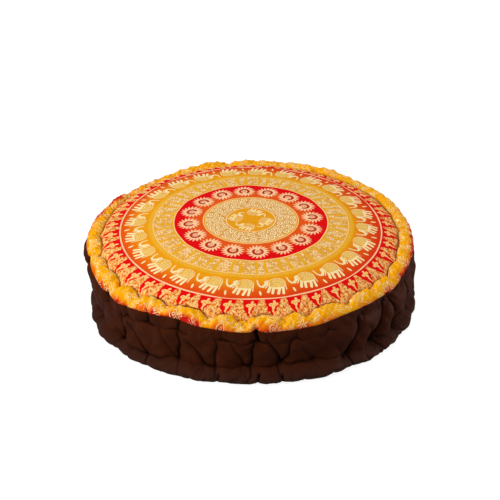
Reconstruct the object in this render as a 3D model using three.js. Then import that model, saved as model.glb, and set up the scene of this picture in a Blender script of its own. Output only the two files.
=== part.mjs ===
// Round floor pouf: a printed top panel whose edge is stuffed into a stitched roll, a filled side band
// drawn in by two rows of tufting stitches, and a flat base panel.
// Millimetres, +Z up, standing on z = 0 round the Z axis. The front faces -Y.
import * as THREE from "three";

// Driving dimensions
const DIAMETER = 600; // across the widest girth
const HEIGHT = 150; // floor to the middle of the crown
const STITCHES = 30; // tufting stitches in one row round the side
const CLOTH = 2; // thickness of the top and base panels
const GAP = 0.3; // clear space between neighbouring pieces
const LEAN = 6; // how far the rim stands to the left of the base

// Derived sizes
const GIRTH = DIAMETER / 2;
const CROWN_DROP = 16; // how far the crown falls from its middle to CROWN_REACH
const CROWN_REACH = GIRTH - 63;
const CROWN_CURVE = 3; // the crown is flat in the middle and falls ever faster
const SEAM_HEIGHT = 107; // where the printed panel meets the side band
const LOW_HEIGHT = 29; // the lower row of stitches
const LIP = 19; // from the seam down to the upper row of stitches
const SEAM_WAVE = 4; // rise and fall of the seam round the back
const LOW_WAVE = 3; // rise and fall of the lower stitches round the back
const WAVE_STEP = 2.3; // radians from stitch to stitch in those waves

// The stitches seen from the front: degrees round from the front, positive to the right, the height of
// the lower stitch and the height of the seam above it. The back is spaced evenly.
const FRONT_STITCHES = [
  { turn: -64, low: 27, seam: 102 },
  { turn: -49, low: 24, seam: 98 },
  { turn: -37, low: 22, seam: 109 },
  { turn: -25.5, low: 31, seam: 117 },
  { turn: -14, low: 30, seam: 111 },
  { turn: -1.5, low: 33, seam: 107 },
  { turn: 10, low: 39, seam: 107 },
  { turn: 20.5, low: 34, seam: 107 },
  { turn: 33, low: 26, seam: 112 },
  { turn: 44, low: 31, seam: 110 },
  { turn: 57, low: 25, seam: 103 },
  { turn: 69, low: 26, seam: 110 },
];

// Rings of the crown: the share of the way out to CROWN_REACH, and the points for each stitch.
const CROWN_ROWS = [
  { share: 0.27, perStitch: 1 },
  { share: 0.54, perStitch: 1 },
  { share: 0.8, perStitch: 2 },
  { share: 1, perStitch: 4 },
];

// Rings of the roll, from the groove sewn round the crown out to the seam. inset is measured in from the
// girth, share runs from the seam height (0) up to ROLL_TOP (1), dip is how far a stitch draws the ring
// down, and swell is how far it moves in towards the middle half way between two stitches.
const ROLL_TOP = 127;
const ROLL_ROWS = [
  { inset: 31, share: 0.66, dip: 4, swell: 8 },
  { inset: 25, share: 0.97, dip: 7, swell: 7 },
  { inset: 16, share: 1, dip: 4, swell: 3 },
  { inset: 5, share: 0.55, dip: 1, swell: 0 },
  { inset: 1, share: 0, dip: 0, swell: 0 },
];

// Rings of the side band below the seam. Each lies a share of the way down its zone. slant is where the
// sloping folds cross the ring, as a share of the way from one lower stitch to the next, and atLow,
// onFold and atUpper say how far the ring is drawn in below the stitches and along those folds.
const SIDE_ROWS = [
  { zone: "lip", share: 0.45, inset: 0, slant: 0.3, atLow: 0, onFold: 0, atUpper: 3 },
  { zone: "lip", share: 1, inset: 6, slant: 0.42, atLow: 0, onFold: 2, atUpper: 7 },
  { zone: "belly", share: 0.25, inset: 0, slant: 0.36, atLow: 0, onFold: 5, atUpper: 2 },
  { zone: "belly", share: 0.5, inset: 0, slant: 0.26, atLow: 1, onFold: 6, atUpper: 0 },
  { zone: "belly", share: 0.75, inset: 1, slant: 0.15, atLow: 3, onFold: 5, atUpper: 0 },
  { zone: "belly", share: 1, inset: 6, slant: 0.1, atLow: 8, onFold: 4, atUpper: 0 },
  { zone: "foot", share: 0.45, inset: 0, slant: 0.2, atLow: 5, onFold: 1, atUpper: 0 },
  { zone: "foot", share: 0.9, inset: 3, slant: 0.2, atLow: 3, onFold: 0, atUpper: 0 },
];

// Rings of the base panel, from its middle out to the seam at the foot of the side band.
const BASE_ROWS = [
  { inset: 205, height: 0, perStitch: 1 },
  { inset: 110, height: 0, perStitch: 2 },
  { inset: 14, height: 0, perStitch: 4 },
  { inset: 5, height: 2.5, perStitch: 4 },
];

const COLUMNS_PER_STITCH = 4; // at the stitch, on the fold, half way, on the next fold
const EVEN_SLANT = 0.25;
const FULL_TURN = 360;

function everyStitch() {
  const first = FRONT_STITCHES[0];
  const last = FRONT_STITCHES.at(-1);
  const hidden = STITCHES - FRONT_STITCHES.length;
  const pitch = (FULL_TURN - (last.turn - first.turn)) / (hidden + 1);
  const back = Array.from({ length: hidden }, (_, index) => ({
    turn: last.turn + pitch * (index + 1),
    low: LOW_HEIGHT + LOW_WAVE * Math.sin(WAVE_STEP * index),
    seam: SEAM_HEIGHT + SEAM_WAVE * Math.cos(WAVE_STEP * index),
  }));
  return [...FRONT_STITCHES, ...back, { ...first, turn: first.turn + FULL_TURN }];
}

const stitches = everyStitch();

// The edge of the pouf a share of the way from one stitch to the next.
function edgeAt(stitch, share) {
  const here = stitches[stitch];
  const next = stitches[stitch + 1];
  const mix = (name) => THREE.MathUtils.lerp(here[name], next[name], share);
  return { turn: THREE.MathUtils.degToRad(mix("turn")), low: mix("low"), seam: mix("seam") };
}

function columnShare(column, slant) {
  return [0, slant, 0.5, 1 - slant][column];
}

function crownHeight(radius) {
  return HEIGHT - CROWN_DROP * (radius / CROWN_REACH) ** CROWN_CURVE;
}

// Sections: for one column of one stitch, the points of a piece's outer face from the middle outwards.
function topSection(stitch, column) {
  const edge = edgeAt(stitch, columnShare(column, EVEN_SLANT));
  const between = [0, 0.5, 1, 0.5][column];
  const crown = CROWN_ROWS.map(({ share, perStitch }) => {
    const radius = CROWN_REACH * share;
    return { radius, height: crownHeight(radius), turn: edge.turn, perStitch };
  });
  const roll = ROLL_ROWS.map(({ inset, share, dip, swell }) => ({
    radius: GIRTH - inset - swell * between,
    height: THREE.MathUtils.lerp(edge.seam, ROLL_TOP, share) - dip * (1 - between),
    turn: edge.turn,
    perStitch: COLUMNS_PER_STITCH,
  }));
  return [...crown, ...roll];
}

function sideSection(stitch, column) {
  return SIDE_ROWS.map(({ zone, share, inset, slant, atLow, onFold, atUpper }) => {
    const edge = edgeAt(stitch, columnShare(column, slant));
    const zones = {
      lip: [edge.seam, edge.seam - LIP],
      belly: [edge.seam - LIP, edge.low],
      foot: [edge.low, 0],
    };
    const pull = [atLow, onFold, atUpper, onFold][column];
    return {
      radius: GIRTH - inset - pull,
      height: THREE.MathUtils.lerp(...zones[zone], share),
      turn: edge.turn,
      perStitch: COLUMNS_PER_STITCH,
    };
  });
}

function baseSection(stitch, column) {
  const edge = edgeAt(stitch, columnShare(column, EVEN_SLANT));
  return BASE_ROWS.map(({ inset, height, perStitch }) => ({
    radius: GIRTH - inset,
    height,
    turn: edge.turn,
    perStitch,
  }));
}

// Moves a section inwards, square to its own line. facing is 1 for an upper face and -1 for a lower one.
// back draws the outer end on along the line, to keep clear of a neighbour's edge.
function inside(section, depth, facing, back) {
  const last = section.length - 1;
  return section.map((point, index) => {
    const before = section[Math.max(index - 1, 0)];
    const after = section[Math.min(index + 1, last)];
    const along = new THREE.Vector2(after.radius - before.radius, after.height - before.height).normalize();
    const shift = index === last ? back : 0;
    return {
      ...point,
      radius: point.radius + depth * along.y * facing + shift * along.x,
      height: point.height - depth * along.x * facing + shift * along.y,
    };
  });
}

// Turns sections into rings of points, one ring for each row.
function ringsOf(sectionOf) {
  const sections = [];
  for (let stitch = 0; stitch < STITCHES; stitch += 1) {
    for (let column = 0; column < COLUMNS_PER_STITCH; column += 1) sections.push(sectionOf(stitch, column));
  }
  return sections[0].map(({ perStitch }, row) => {
    const step = COLUMNS_PER_STITCH / perStitch;
    return sections.filter((_, index) => index % step === 0).map((section) => placed(section[row]));
  });
}

function placed({ radius, height, turn }) {
  const lean = LEAN * (0.5 - height / SEAM_HEIGHT) * (radius / GIRTH);
  return new THREE.Vector3(radius * Math.sin(turn) + lean, -radius * Math.cos(turn), height);
}

// A closed body through rings: from a point on the axis at topHeight out through the outward rings, then
// back through the inward rings to bottomHeight. A ring may have as many points as the one before it,
// twice as many, or half as many. Squares split the same way on every face, so that faces stay parallel.
function bodyThrough(topHeight, outward, inward, bottomHeight) {
  const positions = [];
  const triangles = [];
  const addPoint = (point) => positions.push(...point.toArray()) / 3 - 1;
  const top = addPoint(placed({ radius: 0, height: topHeight, turn: 0 }));
  const loops = [...outward, ...inward].map((ring) => ring.map(addPoint));
  const bottom = addPoint(placed({ radius: 0, height: bottomHeight, turn: 0 }));
  const around = (loop, index) => loop[index % loop.length];

  const fan = (centre, loop, facesUp) => loop.forEach((corner, index) => {
    const next = around(loop, index + 1);
    triangles.push(centre, ...(facesUp ? [corner, next] : [next, corner]));
  });
  const join = (upper, lower, goesIn) => {
    const count = Math.min(upper.length, lower.length);
    const upStep = upper.length / count;
    const downStep = lower.length / count;
    for (let index = 0; index < count; index += 1) {
      const [a, aNext] = [around(upper, index * upStep), around(upper, (index + 1) * upStep)];
      const [b, bNext] = [around(lower, index * downStep), around(lower, (index + 1) * downStep)];
      const pastHalf = index % COLUMNS_PER_STITCH >= COLUMNS_PER_STITCH / 2;
      if (downStep === 2) {
        const middle = around(lower, index * downStep + 1);
        triangles.push(a, b, middle, a, middle, aNext, aNext, middle, bNext);
      } else if (upStep === 2) {
        const middle = around(upper, index * upStep + 1);
        triangles.push(a, b, middle, b, bNext, middle, middle, bNext, aNext);
      } else if (pastHalf === goesIn) {
        triangles.push(a, b, bNext, a, bNext, aNext);
      } else {
        triangles.push(a, b, aNext, b, bNext, aNext);
      }
    }
  };

  fan(top, loops[0], true);
  for (let index = 1; index < loops.length; index += 1) {
    join(loops[index - 1], loops[index], index >= outward.length);
  }
  fan(bottom, loops.at(-1), false);

  const geometry = new THREE.BufferGeometry();
  geometry.setAttribute("position", new THREE.Float32BufferAttribute(positions, 3));
  geometry.setIndex(triangles);
  geometry.computeVertexNormals();
  return geometry;
}

// The printed panel: its outer face, and its inner face one cloth thickness below.
function printedTop() {
  const outer = ringsOf(topSection);
  const inner = ringsOf((stitch, column) => inside(topSection(stitch, column), CLOTH, 1, 0));
  return bodyThrough(HEIGHT, outer, inner.reverse(), HEIGHT - CLOTH);
}

// The side band with its stuffing: it fills the crown under the printed panel, shows below the seam, and
// stands on the base panel.
function filledSide() {
  const clear = CLOTH + GAP;
  const underTop = ringsOf((stitch, column) => inside(topSection(stitch, column), clear, 1, GAP));
  const underSeam = ringsOf((stitch, column) => inside(topSection(stitch, column), 0, 1, GAP)).slice(-1);
  const side = ringsOf(sideSection);
  const overFoot = ringsOf((stitch, column) => inside(baseSection(stitch, column), 0, -1, GAP)).slice(-1);
  const overBase = ringsOf((stitch, column) => inside(baseSection(stitch, column), clear, -1, GAP));
  const outward = [...underTop, ...underSeam, ...side, ...overFoot];
  return bodyThrough(HEIGHT - clear, outward, overBase.reverse(), clear);
}

// The base panel, flat on the floor, its edge turned up to the seam at the foot of the side band.
function basePanel() {
  const outer = ringsOf(baseSection);
  const inner = ringsOf((stitch, column) => inside(baseSection(stitch, column), CLOTH, -1, 0));
  return bodyThrough(CLOTH, inner, outer.reverse(), 0);
}

function piece(name, geometry, colour, roughness) {
  const material = new THREE.MeshStandardMaterial({ color: colour, roughness, metalness: 0 });
  const mesh = new THREE.Mesh(geometry, material);
  mesh.name = name;
  return mesh;
}

const PRINT_GOLD = 0xe08a2a;
const BROWN = 0x3a1f15;
const COTTON_ROUGHNESS = 0.9;

const pouf = new THREE.Group();
pouf.add(piece("printed_top", printedTop(), PRINT_GOLD, COTTON_ROUGHNESS));
pouf.add(piece("filled_side", filledSide(), BROWN, COTTON_ROUGHNESS));
pouf.add(piece("base_panel", basePanel(), BROWN, COTTON_ROUGHNESS));

export default pouf;
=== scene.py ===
import math

import bpy
import numpy as np
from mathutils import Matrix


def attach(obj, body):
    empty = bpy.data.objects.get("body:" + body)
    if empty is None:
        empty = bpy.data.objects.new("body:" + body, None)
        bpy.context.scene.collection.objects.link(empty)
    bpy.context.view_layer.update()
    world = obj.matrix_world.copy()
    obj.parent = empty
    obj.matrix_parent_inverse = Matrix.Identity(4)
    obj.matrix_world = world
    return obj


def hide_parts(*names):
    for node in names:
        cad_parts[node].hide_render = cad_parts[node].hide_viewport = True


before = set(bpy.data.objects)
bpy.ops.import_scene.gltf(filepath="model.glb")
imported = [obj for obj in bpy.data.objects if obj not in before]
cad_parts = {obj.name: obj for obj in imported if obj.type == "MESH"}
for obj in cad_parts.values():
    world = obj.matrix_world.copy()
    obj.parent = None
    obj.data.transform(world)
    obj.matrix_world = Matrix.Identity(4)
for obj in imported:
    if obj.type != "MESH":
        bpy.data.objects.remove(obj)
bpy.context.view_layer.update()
print("frame loaded with", sorted(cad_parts))

mm = 0.001  # lengths below are in millimetres, and meshes are made in metres


# Camera, light and floor

cameraView = dict(
    distance=2271.0,  # from the middle of the crown
    elevation=29.47,
    aimHeight=150.0,
    tiltBelowAim=1.39,
    aside=-0.9,
    lens=90.5,
    sensor=36.0,
)
studio = dict(
    worldLight=0.3,
    floorSize=120.0,  # metres, so that its edge stays far away
    floorColour=(0.26, 0.26, 0.26),
    floorGlow=0.9,
    softBoxes=[
        dict(name="topBox", place=(0.08, -0.4, 2.6), size=1.8, power=22.0, gloss=False),
        dict(name="leftBox", place=(-2.2, -1.6, 1.3), size=1.2, power=57.0, gloss=False),
        dict(name="backBox", place=(-0.9, 2.4, 1.2), size=1.2, power=22.0, gloss=False),
        dict(name="rightBox", place=(2.15, 0.1, 0.4), size=0.6, power=14.5, gloss=True),  # the brown's shine
    ],
)


def placeCamera():
    elevation = math.radians(cameraView["elevation"])
    data = bpy.data.cameras.new("photoCamera")
    data.lens = cameraView["lens"]
    data.sensor_width = cameraView["sensor"]
    camera = bpy.data.objects.new("photoCamera", data)
    camera.location = (
        cameraView["aside"] * mm,
        -cameraView["distance"] * math.cos(elevation) * mm,
        (cameraView["aimHeight"] + cameraView["distance"] * math.sin(elevation)) * mm,
    )
    down = elevation + math.radians(cameraView["tiltBelowAim"])
    camera.rotation_euler = (math.pi / 2 - down, 0.0, 0.0)
    bpy.context.scene.collection.objects.link(camera)
    bpy.context.scene.camera = camera


def lightStudio():
    world = bpy.data.worlds.new("studioWorld")
    world.use_nodes = True
    background = world.node_tree.nodes["Background"]
    background.inputs["Color"].default_value = (1.0, 1.0, 1.0, 1.0)
    background.inputs["Strength"].default_value = studio["worldLight"]
    bpy.context.scene.world = world
    bpy.context.scene.view_settings.view_transform = "Standard"
    for box in studio["softBoxes"]:
        data = bpy.data.lights.new(box["name"], "AREA")
        data.energy = box["power"]
        data.size = box["size"]
        lamp = bpy.data.objects.new(box["name"], data)
        lamp.location = box["place"]
        lamp.visible_camera = False
        lamp.visible_glossy = box["gloss"]
        away = -lamp.location
        lamp.rotation_euler = away.to_track_quat("-Z", "Y").to_euler()
        bpy.context.scene.collection.objects.link(lamp)


def layFloor():
    half = studio["floorSize"] / 2
    mesh = bpy.data.meshes.new("studioFloor")
    corners = [(-half, -half, 0), (half, -half, 0), (half, half, 0), (-half, half, 0)]
    mesh.from_pydata(corners, [], [(0, 1, 2, 3)])
    floor = bpy.data.objects.new("studioFloor", mesh)
    material = bpy.data.materials.new("paleFloor")
    material.use_nodes = True
    shader = material.node_tree.nodes["Principled BSDF"]
    shader.inputs["Base Color"].default_value = (*studio["floorColour"], 1.0)
    shader.inputs["Emission Color"].default_value = (1.0, 1.0, 1.0, 1.0)
    shader.inputs["Emission Strength"].default_value = studio["floorGlow"]
    shader.inputs["Roughness"].default_value = 1.0
    shader.inputs["Specular IOR Level"].default_value = 0.0
    mesh.materials.append(material)
    floor.visible_glossy = False  # no white veil on the brown
    floor.visible_diffuse = False  # and the folds keep their shade
    bpy.context.scene.collection.objects.link(floor)


placeCamera()
lightStudio()
layFloor()
print("camera, light and floor ready")


# The pouf's sizes and its hand stitches

pouf = dict(
    girth=300.0,  # widest radius
    height=150.0,
    leanAt=[0.0, 55.0, 107.0, 150.0],  # how far the body stands aside, by height
    leanBy=[0.0, 2.5, -3.0, -4.0],
    crownAside=0.6,  # the crown sits this far to the right on it
    stretchAt=[0.0, 140.0, 238.0, 264.0],  # and its print is drawn wider or narrower sideways, by radius
    stretchBy=[0.012, 0.012, -0.009, 0.0],
    crownDrop=16.0,
    crownReach=237.0,
    crownCurve=3.0,
    crownBlend=26.0,  # where the crown gives way to the rim
    seamHeight=107.0,
    lowHeight=29.0,
    lip=19.0,  # from the seam down to the upper row of stitches
    stitches=30,
    seamWave=4.0,  # how far hidden stitches stray up and down, at the seam and below
    lowWave=3.0,
    waveStep=2.3,
    columnsPerStitch=40,
)

# One row for each stitch seen from the front. turn is in degrees round from the front, to the right, and
# low and seam are heights. tuft says how hard the lower stitch draws the side in and span is half its
# length. left and right are the two folds that rise from it: where each ends (turn, height) and how deep
# it is. upper is the next stitch of the row above and notch says how hard it draws the rim in. groove is
# the stitch on top, inside the roll, pinch says how hard it draws the roll down and flat is half the
# length that it holds flat.
frontStitches = [
    dict(turn=-76, tuft=0.8, low=30, seam=107, span=3, left=(-82, 84, 0.5), right=(-70, 84, 0.5),
         upper=-77, notch=1.5, groove=-74.5, pinch=1.0, flat=2),
    dict(turn=-64, tuft=0.8, low=27, seam=102, span=3, left=(-70, 78, 0.5), right=(-58, 80, 0.5),
         upper=-55, notch=1.2, groove=-65, pinch=0.5, flat=3),
    dict(turn=-49, tuft=1.0, low=24, seam=98, span=3, left=(-55, 76, 0.4), right=(-47.3, 84, 1.1),
         upper=-44.5, notch=0.5, groove=-52.5, pinch=1.0, flat=3),
    dict(turn=-37, tuft=0.6, low=22, seam=109, span=2, left=(-44.5, 72, 0.9), right=(-34, 60, 0.3),
         upper=-35, notch=0.9, groove=-41.5, pinch=0.8, flat=4),
    dict(turn=-25.5, tuft=1.0, low=31, seam=117, span=2, left=(-30.7, 86, 0.5), right=(-23.2, 98, 1.0),
         upper=-23, notch=0.9, groove=-29, pinch=0.6, flat=5),
    dict(turn=-14, tuft=0.5, low=30, seam=111, span=9, left=(-20.3, 78, 0.8), right=(-10.8, 87, 0.9),
         upper=-8.5, notch=0.1, groove=-13.4, pinch=0.9, flat=5),
    dict(turn=-1.5, tuft=0.7, low=33, seam=107, span=5, left=(-6.2, 87, 0.6), right=(1.3, 91, 1.1),
         upper=2.4, notch=1.9, groove=-2.2, pinch=1.0, flat=9),
    dict(turn=10, tuft=1.0, low=36, seam=107, span=0, left=(5.4, 90, 0.9), right=(13.6, 85, 0.9),
         upper=15, notch=0.1, groove=11.4, pinch=0.9, flat=4),
    dict(turn=20.5, tuft=0.4, low=35, seam=107, span=4, left=(17, 70, 0.3), right=(24.5, 66, 0.25),
         upper=26, notch=0.1, groove=20.4, pinch=0.9, flat=3),
    dict(turn=33, tuft=1.0, low=26, seam=112, span=6, left=(28.5, 54, 0.4), right=(38.8, 92, 1.2),
         upper=40.5, notch=0.3, groove=35.8, pinch=0.9, flat=5),
    dict(turn=45.5, tuft=2.1, low=27, seam=110, span=2, left=(42.5, 66, 0.4), right=(52, 88, 1.7),
         upper=53, notch=0.35, groove=48.8, pinch=0.4, flat=4),
    dict(turn=58.5, tuft=2.4, low=23, seam=103, span=2, left=(56.5, 86, 1.6), right=(66.5, 60, 1.3),
         upper=64, notch=0.3, groove=60, pinch=0.9, flat=3),
    dict(turn=70, tuft=1.1, low=26, seam=110, span=3, left=(68, 86, 1.1), right=(76, 80, 0.6),
         upper=76, notch=0.3, groove=71, pinch=0.5, flat=3),
]

# Short puckers in the foot, as (turn, height) to (turn, height) and depth
footPuckers = [
    ((-36.5, 22), (-35.3, 2), 0.8), ((-12.3, 30), (-11.6, 16), 0.7), ((-10.7, 20), (-10.7, 2), 0.8),
    ((-0.6, 33), (0.3, 21), 0.7), ((0.3, 21), (-0.8, 11), 0.6), ((2.4, 22), (2.7, 2), 0.9),
    ((8.8, 34), (9.2, 16), 0.7), ((10.0, 17), (10.0, 2), 0.9), ((33.6, 25), (35.3, 2), 0.8),
    ((46, 30), (49, 3), 0.8), ((58.5, 25), (62, 2), 0.4), ((-49, 24), (-52, 6), 0.5),
    ((-25, 30), (-24, 12), 0.5), ((21, 33), (21.8, 20), 0.35), ((17.5, 13), (17.8, 2), 0.4),
    ((27, 12), (27.5, 2), 0.4), ((-20, 12), (-20.2, 2), 0.5), ((-43, 12), (-43.8, 2), 0.5),
    ((-16.5, 26), (-17.5, 16), 0.35), ((-64, 27), (-66, 6), 0.6), ((70, 26), (72, 4), 0.25),
]

# Stitches out of sight: a usual value and how far it strays, with the turns as shares of the pitch
hiddenStitches = dict(
    tuft=0.7,
    span=(4, 4),
    foldTurn=(0.34, 0.2),
    foldDepth=(0.6, 0.4),
    leftDrop=34,  # from the seam down to the end of a fold
    rightDrop=32,
    dropStray=12,
    upperTurn=(0.5, 0.12),
    notch=(0.35, 0.3),
    grooveStray=2.0,
    pinch=(0.4, 0.3),
    flat=(4, 2),
    footFold=dict(stray=1.2, drop=15, depths=(0.5, 0.2)),
    footPucker=dict(aside=2.6, stray=1.2, lean=0.3, top=16, bottom=2, depths=(0.2, 0.4)),
    quiet=[(92, 14, 0.35), (264, 16, 0.45)],  # shallower folds at both sides: turn, width, how much less
)


def wobble(index, seed):
    # a repeatable number from -1 to 1
    return math.sin(12.9898 * index + 78.233 * seed + 1.7) * math.cos(4.1414 * index + 37.719 * seed)


def straying(name, index, seed):
    usual, stray = hiddenStitches[name]
    return usual + stray * wobble(index, seed)


def everyStitch():
    first, last = frontStitches[0], frontStitches[-1]
    unseen = pouf["stitches"] - len(frontStitches)
    pitch = (360.0 - (last["turn"] - first["turn"])) / (unseen + 1)
    plan = hiddenStitches
    rows = list(frontStitches)
    for index in range(unseen):
        turn = last["turn"] + pitch * (index + 1)
        calm = 1.0 - sum(less * math.exp(-((turn - at) / width) ** 2) for at, width, less in plan["quiet"])
        seam = pouf["seamHeight"] + pouf["seamWave"] * math.cos(pouf["waveStep"] * index)
        leftEnd = seam - plan["leftDrop"] + plan["dropStray"] * wobble(index, 15)
        rightEnd = seam - plan["rightDrop"] + plan["dropStray"] * wobble(index, 16)
        rows.append(dict(
            turn=turn,
            tuft=plan["tuft"] * calm,
            low=pouf["lowHeight"] + pouf["lowWave"] * math.sin(pouf["waveStep"] * index),
            seam=seam,
            span=straying("span", index, 2),
            left=(turn - pitch * straying("foldTurn", index, 3), leftEnd,
                  calm * straying("foldDepth", index, 4)),
            right=(turn + pitch * straying("foldTurn", index, 5), rightEnd,
                   calm * straying("foldDepth", index, 6)),
            upper=turn + pitch * straying("upperTurn", index, 1),
            notch=calm * straying("notch", index, 7),
            groove=turn + plan["grooveStray"] * wobble(index, 9),
            pinch=straying("pinch", index, 10),
            flat=straying("flat", index, 13),
        ))
    return rows


stitches = everyStitch()
columns = pouf["stitches"] * pouf["columnsPerStitch"]


def aroundRim(name):
    # a value of the stitch table, eased from stitch to stitch, for every column
    values = np.array([row[name] for row in stitches] + [stitches[0][name]], float)
    if name == "turn":
        values[-1] += 360.0
    phase = np.arange(columns) / pouf["columnsPerStitch"]
    here = phase.astype(int)
    share = phase - here
    if name != "turn":
        share = share * share * (3 - 2 * share)
    return values[here] + (values[here + 1] - values[here]) * share


theta = np.radians(aroundRim("turn"))
seamHeight = aroundRim("seam")
lowHeight = aroundRim("low")


def sideways(turn):
    # signed distance along the girth from an angle in degrees to every column
    turned = theta - np.radians(turn)
    return pouf["girth"] * (np.mod(turned + np.pi, 2 * np.pi) - np.pi)


def pinches(turnName, sizeName, flatName, reach):
    # how much of each stitch is felt at every column
    felt = np.zeros(columns)
    for row in stitches:
        gap = np.abs(sideways(row[turnName])) - (row[flatName] if flatName else 0.0)
        felt = np.maximum(felt, row[sizeName] * np.exp(-np.maximum(gap, 0) / reach))
    return felt


def ripples(rows, along):
    # uneven stuffing: waves round the pouf that lean and change along the section
    total = 0.0
    for around, slope, phase, size in rows:
        total = total + size * np.sin(around * theta + slope * along + phase)
    return total


def swells(rows):
    # soft swells round the pouf, each with its turn, its width in degrees and its size
    total = np.zeros(columns)
    for turn, width, size in rows:
        total += size * np.exp(-(sideways(turn) / (math.radians(width) * pouf["girth"])) ** 2)
    return total


def eased(value, start, end):
    share = np.clip((value - start) / (end - start), 0, 1)
    return share * share * (3 - 2 * share)


def place(radius, height):
    rim = np.interp(height, pouf["leanAt"], pouf["leanBy"])
    onCrown = 1 - eased(radius, pouf["crownReach"], pouf["crownReach"] + pouf["crownBlend"])
    onCrown = np.where(height > pouf["seamHeight"], onCrown, 0.0)
    aside = rim * (1 - onCrown) + pouf["crownAside"] * onCrown
    turn = theta[:: columns // len(radius)]
    stretch = np.interp(radius, pouf["stretchAt"], pouf["stretchBy"]) * (height > pouf["seamHeight"])
    across = radius * np.sin(turn) * (1 + stretch)
    return np.stack([across + aside, -radius * np.cos(turn), height], axis=1)


# Meshes through rings of points

def spanFaces(upper, lower):
    # faces between two rings of point numbers, where one may have twice or half the points of the other
    step = len(upper) / len(lower)
    if step == 1:
        return list(zip(upper, lower, np.roll(lower, -1), np.roll(upper, -1)))
    many, few = (upper, lower) if step == 2 else (lower, upper)
    even, odd, after = many[0::2], many[1::2], np.roll(many[0::2], -1)
    fewNext = np.roll(few, -1)
    faces = []
    for a, b, c in ((few, even, odd), (few, odd, fewNext), (fewNext, odd, after)):
        faces += list(zip(a, b, c)) if step != 2 else list(zip(a, c, b))
    return faces


def ringBody(name, top, rings, bottom):
    # a closed mesh from a point on the axis out through the rings and back to another point on the axis
    points = [np.array([top])] + rings + [np.array([bottom])]
    starts = np.cumsum([0] + [len(ring) for ring in points])
    loops = [np.arange(len(ring)) + start for ring, start in zip(points, starts)]
    first, last = loops[1], loops[-2]
    spans = [list(zip(np.full(len(first), loops[0][0]), first, np.roll(first, -1)))]
    for upper, lower in zip(loops[1:-2], loops[2:-1]):
        spans.append(spanFaces(upper, lower))
    spans.append(list(zip(np.full(len(last), loops[-1][0]), np.roll(last, -1), last)))
    mesh = bpy.data.meshes.new(name)
    faces = [tuple(int(i) for i in face) for span in spans for face in span]
    mesh.from_pydata((np.concatenate(points) * mm).tolist(), [], faces)
    mesh.polygons.foreach_set("use_smooth", np.ones(len(faces), bool))
    piece = bpy.data.objects.new(name, mesh)
    bpy.context.scene.collection.objects.link(piece)
    return piece, [len(span) for span in spans]


def keepOnMesh(piece, name, values):
    # stores a vector for every point, which the cloth's material reads
    attribute = piece.data.attributes.new(name, "FLOAT_VECTOR", "POINT")
    attribute.data.foreach_set("vector", np.asarray(values, np.float32).ravel())


# Printed top: the crown, the groove sewn round it and the roll out to the seam

topPanel = dict(
    cloth=1.4,  # thickness
    rollCentre=282.0,
    rollHeight=105.0,
    rollFollowsSeam=0.25,
    rollRadius=17.0,
    rollSwell=3.2,  # fatter between stitches
    # where the roll is thinner and where it lies further in: turn, width in degrees, how much
    thinner=[(58, 34, 5.0), (-74, 15, 3.5), (-128, 30, 4.5)],
    inward=[(-74, 14, 5.0), (58, 16, 3.5), (-125, 30, 7.0), (-152, 14, 4.0), (122, 30, -5.0)],
    thinnerAside=0.3,
    crest=0.7,  # below 1 the roll is fattest towards the groove
    grooveAngle=150.0,  # where the roll starts, in degrees round its own centre
    grooveLift=6.0,  # and how much higher than round it starts, between two stitches
    grooveLiftLess=0.5,  # less at a stitch
    grooveLiftFades=3,
    stitchPull=10.0,
    stitchPullAtSeam=0.1,  # what is left of the pull at the seam
    stitchPullFades=1.3,
    stitchReach=9.0,
    notchPull=9.0,
    notchRise=2.5,  # how fast a notch dies out up the roll
    notchReach=5.0,
    puckers=(0.85, 0.9, 0.5),  # fine gathers: everywhere, more at a stitch, more at a notch
    puckerLean=6,
    puckerStart=0.06,
    seamTuck=0.9,  # the cloth turns in at the seam
    seamTuckReach=0.03,
    rollRows=34,
    slopeRows=14,
    slopeSoft=(4.5, 3.5),  # how softly the crown falls to the groove, and more so at a stitch
    # rings of the crown: radius and how many columns share a point
    crownRings=[(12, 16), (24, 16), (34, 8), (43, 8), (57, 8), (71, 8), (86, 4), (99, 4), (112, 4), (124, 4),
                (136.5, 4), (149, 2), (161, 2), (173, 2), (186, 2), (199, 2), (212, 2), (225, 1), (236.7, 1)],
    rippleReach=150.0,  # the crown is smooth in the middle and ripples from here
    crownRipple=[(7, 0.021, 0.4, 0.5), (13, -0.03, 2.1, 0.45), (19, 0.04, 4.4, 0.35)],
    rollRipple=[(61, 1.3, 0.3, 0.7), (97, -2.0, 1.9, 0.8), (151, 3.1, 5.0, 0.7), (23, 0.8, 2.2, 0.9)],
    grooveShade=2.2,  # how far the painted shade of the sewn groove reaches on the roll
    slopeShade=4.6,  # and on the crown's slope
    slopeShadeEdge=1.6,
    slopeShadeLess=1.4,  # less beside a stitch
    # painted shade in a notch of the rim: how dark, from which pull, how fast it rises up the roll
    notchShade=0.8,
    notchShadeFrom=0.35,
    notchShadeRise=4,
    # lumps of the roll towards the back: turn, width in degrees, lift
    lumps=[(-116, 6, 3.0), (-137, 12, -4.0), (-160, 7, 5.0), (150, 10, 4.5), (134, 4, -2.5), (112, 8, 1.5)],
)

printSizes = dict(
    scrollEdge=86.0,
    sunEdge=136.5,
    figureEdge=186.0,
    elephantEdge=236.7,
    grooveEdge=279.0,  # the sewn groove takes up the cloth to here
)


def crownHeight(radius):
    return pouf["height"] - pouf["crownDrop"] * (radius / pouf["crownReach"]) ** pouf["crownCurve"]


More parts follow.
